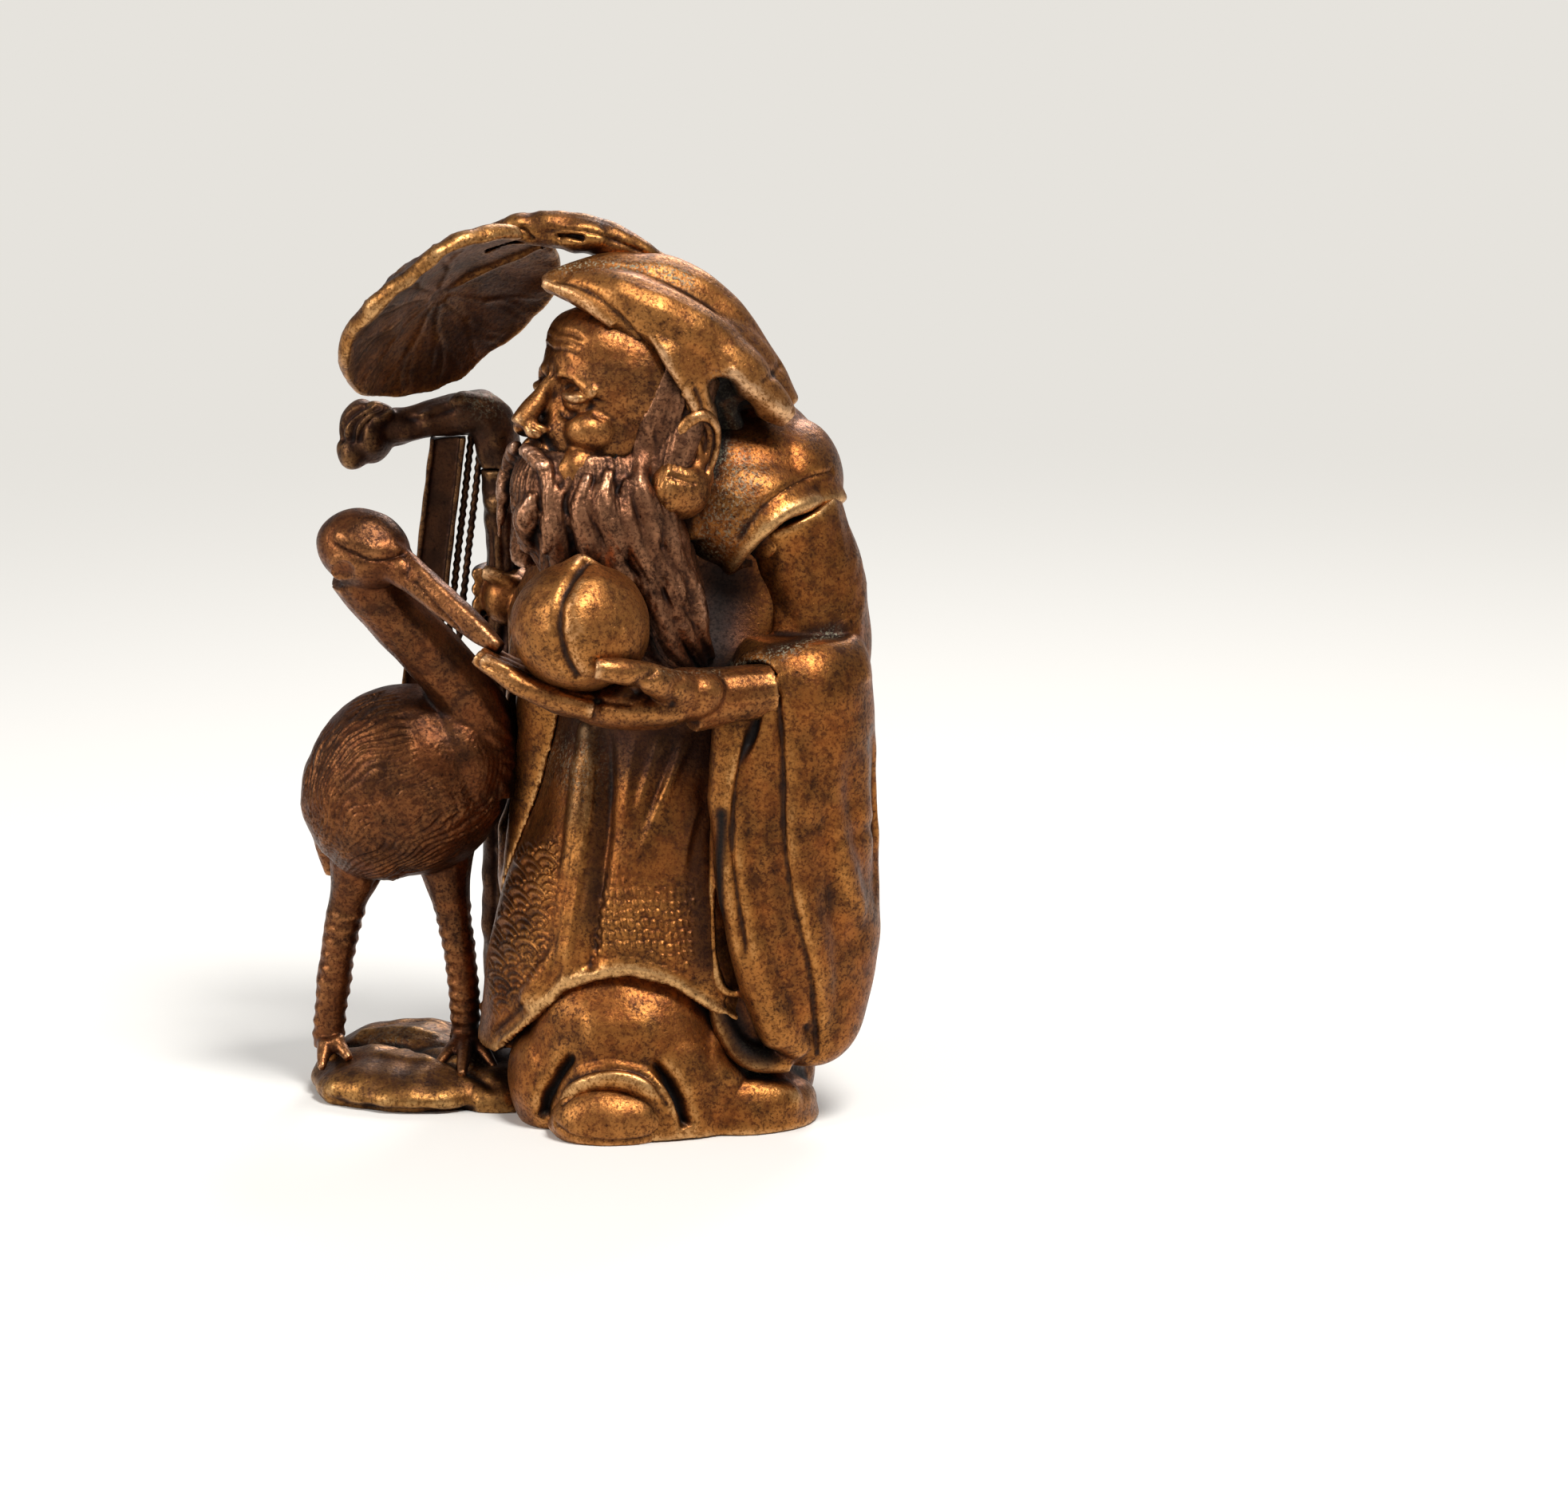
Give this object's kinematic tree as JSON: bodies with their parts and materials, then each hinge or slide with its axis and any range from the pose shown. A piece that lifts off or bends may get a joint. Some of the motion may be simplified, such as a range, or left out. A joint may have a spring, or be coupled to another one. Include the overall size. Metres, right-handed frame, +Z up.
{
  "type": "okimono figure group",
  "caption": "Small standing bronze group: bearded sage in robe and cap holding a peach and a staff, crane at the side, broad leaf arching overhead.",
  "frame": {"origin": "middle of the bounding box, on the surface the group stands on", "axes": "+Z up; -Y is the displayed front, towards the viewer of the picture; +X to the right of it"},
  "size_m": [0.031, 0.024, 0.0487],
  "materials": {
    "robe_bronze": "cast, brown patina, worn golden on the folds",
    "worn_bronze": "cast, brown patina, rubbed bright",
    "skin_bronze": "cast, smooth brown patina",
    "hair_bronze": "cast and chased in fine hair lines, dark patina",
    "leaf_bronze": "cast, scraped brown patina, dark inside",
    "staff_bronze": "cast, rough dark patina with dust",
    "crane_bronze": "cast and chased in feather lines, reddish brown patina",
    "ground_bronze": "cast, rubbed brown patina",
    "pin_bronze": "drawn rod, inside the joints"
  },
  "bodies": {
    "root": {"beard": "hair_bronze", "cap": "worn_bronze", "crane_body": "crane_bronze", "crane_head": "crane_bronze", "crane_inner_leg": "crane_bronze", "crane_neck": "crane_bronze", "crane_outer_leg": "crane_bronze", "crane_tail": "crane_bronze", "ground": "ground_bronze", "hanging_tablet": "staff_bronze", "head": "skin_bronze", "joining_pins": "pin_bronze", "leaf": "leaf_bronze", "leaf_stem": "leaf_bronze", "left_hand": "skin_bronze", "left_sleeve": "robe_bronze", "peach": "worn_bronze", "right_hand": "skin_bronze", "right_sleeve": "robe_bronze", "robe_body": "robe_bronze", "shoe": "worn_bronze", "shoulder_cape": "robe_bronze", "staff": "staff_bronze", "staff_head": "staff_bronze", "tablet_cords": "staff_bronze", "underskirt": "robe_bronze"}
  },
  "joints": []
}
